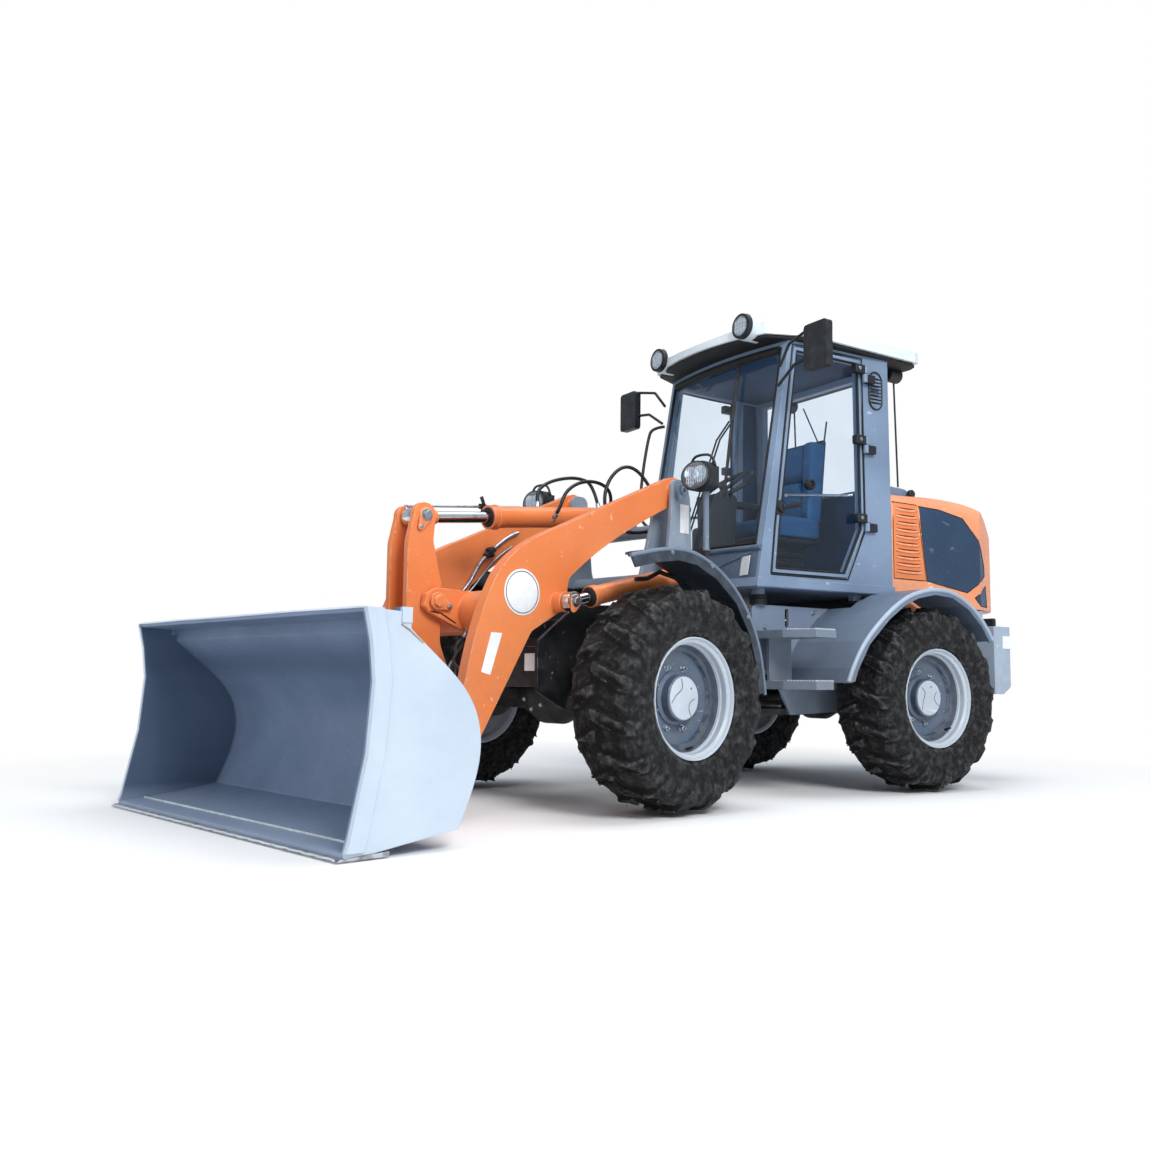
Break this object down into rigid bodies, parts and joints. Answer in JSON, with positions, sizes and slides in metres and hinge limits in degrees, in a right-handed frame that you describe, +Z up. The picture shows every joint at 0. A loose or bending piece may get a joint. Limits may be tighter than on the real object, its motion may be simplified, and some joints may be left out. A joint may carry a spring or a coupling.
{
  "type": "wheel loader",
  "caption": "Compact articulated wheel loader with cab, lift arm, tilt lever linkage and bucket, steered at its middle.",
  "frame": {"origin": "on the ground under the middle of the machine's bounding box", "axes": "+X ahead along the rear half's heading, +Y to the driver's left, +Z up"},
  "size_m": [5.5321, 2.5365, 2.7999],
  "materials": {
    "frame_steel": "satin",
    "dark_steel": "satin",
    "cast_dark": "matte",
    "orange_paint": "satin",
    "navy_panel": "satin",
    "cab_grey": "satin",
    "tinted_glass": "satin",
    "white_roof": "satin",
    "lamp_lens": "satin",
    "seat_fabric": "matte",
    "black_plastic": "matte",
    "fender_plastic": "matte",
    "step_steel": "satin",
    "tyre_rubber": "matte",
    "rim_silver": "satin",
    "bucket_paint": "satin",
    "worn_edge": "satin",
    "rod_chrome": "satin"
  },
  "bodies": {
    "rear_half": {"rear_frame": "frame_steel", "rear_hinge_plates": "frame_steel", "rear_axle": "cast_dark", "rear_drive_shaft": "dark_steel", "counterweight": "cast_dark", "tow_hitch": "cast_dark", "engine": "cast_dark", "hood": "orange_paint", "hood_catch": "frame_steel", "louvre_panels": "orange_paint", "hood_side_panels": "navy_panel", "cab_frame": "cab_grey", "cab_glass": "tinted_glass", "cab_roof": "white_roof", "roof_lamp_pods": "black_plastic", "roof_lamps": "lamp_lens", "seat": "seat_fabric", "steering_console": "black_plastic", "rear_fenders": "fender_plastic", "cab_steps": "step_steel", "mirrors": "black_plastic"},
    "front_half": {"front_frame": "frame_steel", "front_hinge_lugs": "frame_steel", "front_axle": "cast_dark", "front_drive_shaft": "dark_steel", "valve_block": "black_plastic", "front_fenders": "fender_plastic", "head_lamps": "black_plastic"},
    "front_left_wheel": {"front_left_tyre": "tyre_rubber", "front_left_rim": "rim_silver"},
    "front_right_wheel": {"front_right_tyre": "tyre_rubber", "front_right_rim": "rim_silver"},
    "rear_left_wheel": {"rear_left_tyre": "tyre_rubber", "rear_left_rim": "rim_silver"},
    "rear_right_wheel": {"rear_right_tyre": "tyre_rubber", "rear_right_rim": "rim_silver"},
    "lift_arm_body": {"lift_arm": "orange_paint"},
    "tilt_lever_body": {"tilt_lever": "orange_paint"},
    "tilt_link_body": {"tilt_link": "orange_paint"},
    "bucket_body": {"bucket_coupler": "orange_paint", "bucket": "bucket_paint", "cutting_edge": "worn_edge"},
    "lift_barrels_body": {"lift_barrels": "orange_paint"},
    "lift_rods_body": {"lift_rods": "rod_chrome"},
    "tilt_barrel_body": {"tilt_barrel": "orange_paint"},
    "tilt_rod_body": {"tilt_rod": "rod_chrome"},
    "left_steer_barrel_body": {"left_steer_barrel": "dark_steel"},
    "left_steer_rod_body": {"left_steer_rod": "rod_chrome"},
    "right_steer_barrel_body": {"right_steer_barrel": "dark_steel"},
    "right_steer_rod_body": {"right_steer_rod": "rod_chrome"},
    "left_door_body": {"left_door": "cab_grey", "left_door_pane": "tinted_glass"},
    "right_door_body": {"right_door": "cab_grey", "right_door_pane": "tinted_glass"}
  },
  "joints": [
    {"name": "articulation", "type": "hinge", "parent": "rear_half", "child": "front_half", "pos_m": [-0.336, -0.28, 0.65], "axis": [0, 0, 1], "range_deg": [-51, 29]},
    {"name": "front_left_axle", "type": "hinge", "parent": "front_half", "child": "front_left_wheel", "pos_m": [0.56889, 0.69864, 0.5375], "axis": [-0.1908, 0.9816, 0], "continuous": true},
    {"name": "front_right_axle", "type": "hinge", "parent": "front_half", "child": "front_right_wheel", "pos_m": [0.86961, -0.8484, 0.5375], "axis": [-0.1908, 0.9816, 0], "continuous": true},
    {"name": "rear_left_axle", "type": "hinge", "parent": "rear_half", "child": "rear_left_wheel", "pos_m": [-1.411, 0.508, 0.5375], "axis": [0, 1, 0], "continuous": true},
    {"name": "rear_right_axle", "type": "hinge", "parent": "rear_half", "child": "rear_right_wheel", "pos_m": [-1.411, -1.068, 0.5375], "axis": [0, 1, 0], "continuous": true},
    {"name": "arm_lift", "type": "hinge", "parent": "front_half", "child": "lift_arm_body", "pos_m": [0.2677, -0.16265, 1.63], "axis": [0.1908, -0.9816, 0], "range_deg": [0, 90]},
    {"name": "bucket_tilt", "type": "hinge", "parent": "lift_arm_body", "child": "bucket_body", "pos_m": [1.67634, 0.11116, 0.33], "axis": [-0.1908, 0.9816, 0], "range_deg": [-45, 130]},
    {"name": "lever_pivot", "type": "hinge", "parent": "lift_arm_body", "child": "tilt_lever_body", "pos_m": [1.58308, 0.09303, 0.973], "axis": [0.1908, -0.9816, 0], "range_deg": [-6.8, 18.7]},
    {"name": "link_pivot", "type": "hinge", "parent": "tilt_lever_body", "child": "tilt_link_body", "pos_m": [1.43093, 0.06346, 0.466], "axis": [-0.1908, 0.9816, 0], "range_deg": [-13.55, 38.2]},
    {"name": "lift_barrel_pivot", "type": "hinge", "parent": "front_half", "child": "lift_barrels_body", "pos_m": [0.31187, -0.15407, 1.175], "axis": [0.1908, -0.9816, 0], "range_deg": [-0.5, 81.88]},
    {"name": "lift_rod_slide", "type": "slide", "parent": "lift_barrels_body", "child": "lift_rods_body", "axis": [0.9545, 0.1855, -0.2333], "range_m": [-0.002, 0.6423]},
    {"name": "tilt_barrel_pivot", "type": "hinge", "parent": "front_half", "child": "tilt_barrel_body", "pos_m": [0.28242, -0.15979, 1.532], "axis": [0.1908, -0.9816, 0], "range_deg": [-0.5, 88.72]},
    {"name": "tilt_rod_slide", "type": "slide", "parent": "tilt_barrel_body", "child": "tilt_rod_body", "axis": [0.9752, 0.1896, -0.1139], "range_m": [-0.1291, 0.046]},
    {"name": "left_steer_barrel_pivot", "type": "hinge", "parent": "rear_half", "child": "left_steer_barrel_body", "pos_m": [-0.886, -0.04, 0.64], "axis": [0, 0, 1], "range_deg": [-5.64, 3.42]},
    {"name": "left_steer_rod_slide", "type": "slide", "parent": "left_steer_barrel_body", "child": "left_steer_rod_body", "axis": [0.9988, -0.0481, 0], "range_m": [-0.1013, 0.1766]},
    {"name": "right_steer_barrel_pivot", "type": "hinge", "parent": "rear_half", "child": "right_steer_barrel_body", "pos_m": [-0.886, -0.52, 0.64], "axis": [0, 0, 1], "range_deg": [-5.66, 3.43]},
    {"name": "right_steer_rod_slide", "type": "slide", "parent": "right_steer_barrel_body", "child": "right_steer_rod_body", "axis": [0.9961, 0.0881, 0], "range_m": [-0.1771, 0.1016]},
    {"name": "left_door_hinge", "type": "hinge", "parent": "rear_half", "child": "left_door_body", "pos_m": [-1.216, 0.332, 1.9], "axis": [0, 0, 1], "range_deg": [0, 95]},
    {"name": "right_door_hinge", "type": "hinge", "parent": "rear_half", "child": "right_door_body", "pos_m": [-1.216, -0.892, 1.9], "axis": [0, 0, -1], "range_deg": [0, 95]}
  ],
  "couplings": [
    {"joint": "lever_pivot", "follows": "bucket_tilt", "ratio": 0.14},
    {"joint": "link_pivot", "follows": "bucket_tilt", "ratio": 0.29},
    {"joint": "lift_barrel_pivot", "follows": "arm_lift", "ratio": 0.9042},
    {"joint": "lift_rod_slide", "follows": "arm_lift", "m_per_rad": 0.4076},
    {"joint": "tilt_barrel_pivot", "follows": "arm_lift", "ratio": 0.98022},
    {"joint": "tilt_rod_slide", "follows": "bucket_tilt", "m_per_rad": -0.056011},
    {"joint": "left_steer_barrel_pivot", "follows": "articulation", "ratio": 0.1007},
    {"joint": "left_steer_rod_slide", "follows": "articulation", "m_per_rad": -0.1961},
    {"joint": "right_steer_barrel_pivot", "follows": "articulation", "ratio": 0.1012},
    {"joint": "right_steer_rod_slide", "follows": "articulation", "m_per_rad": 0.1967}
  ]
}
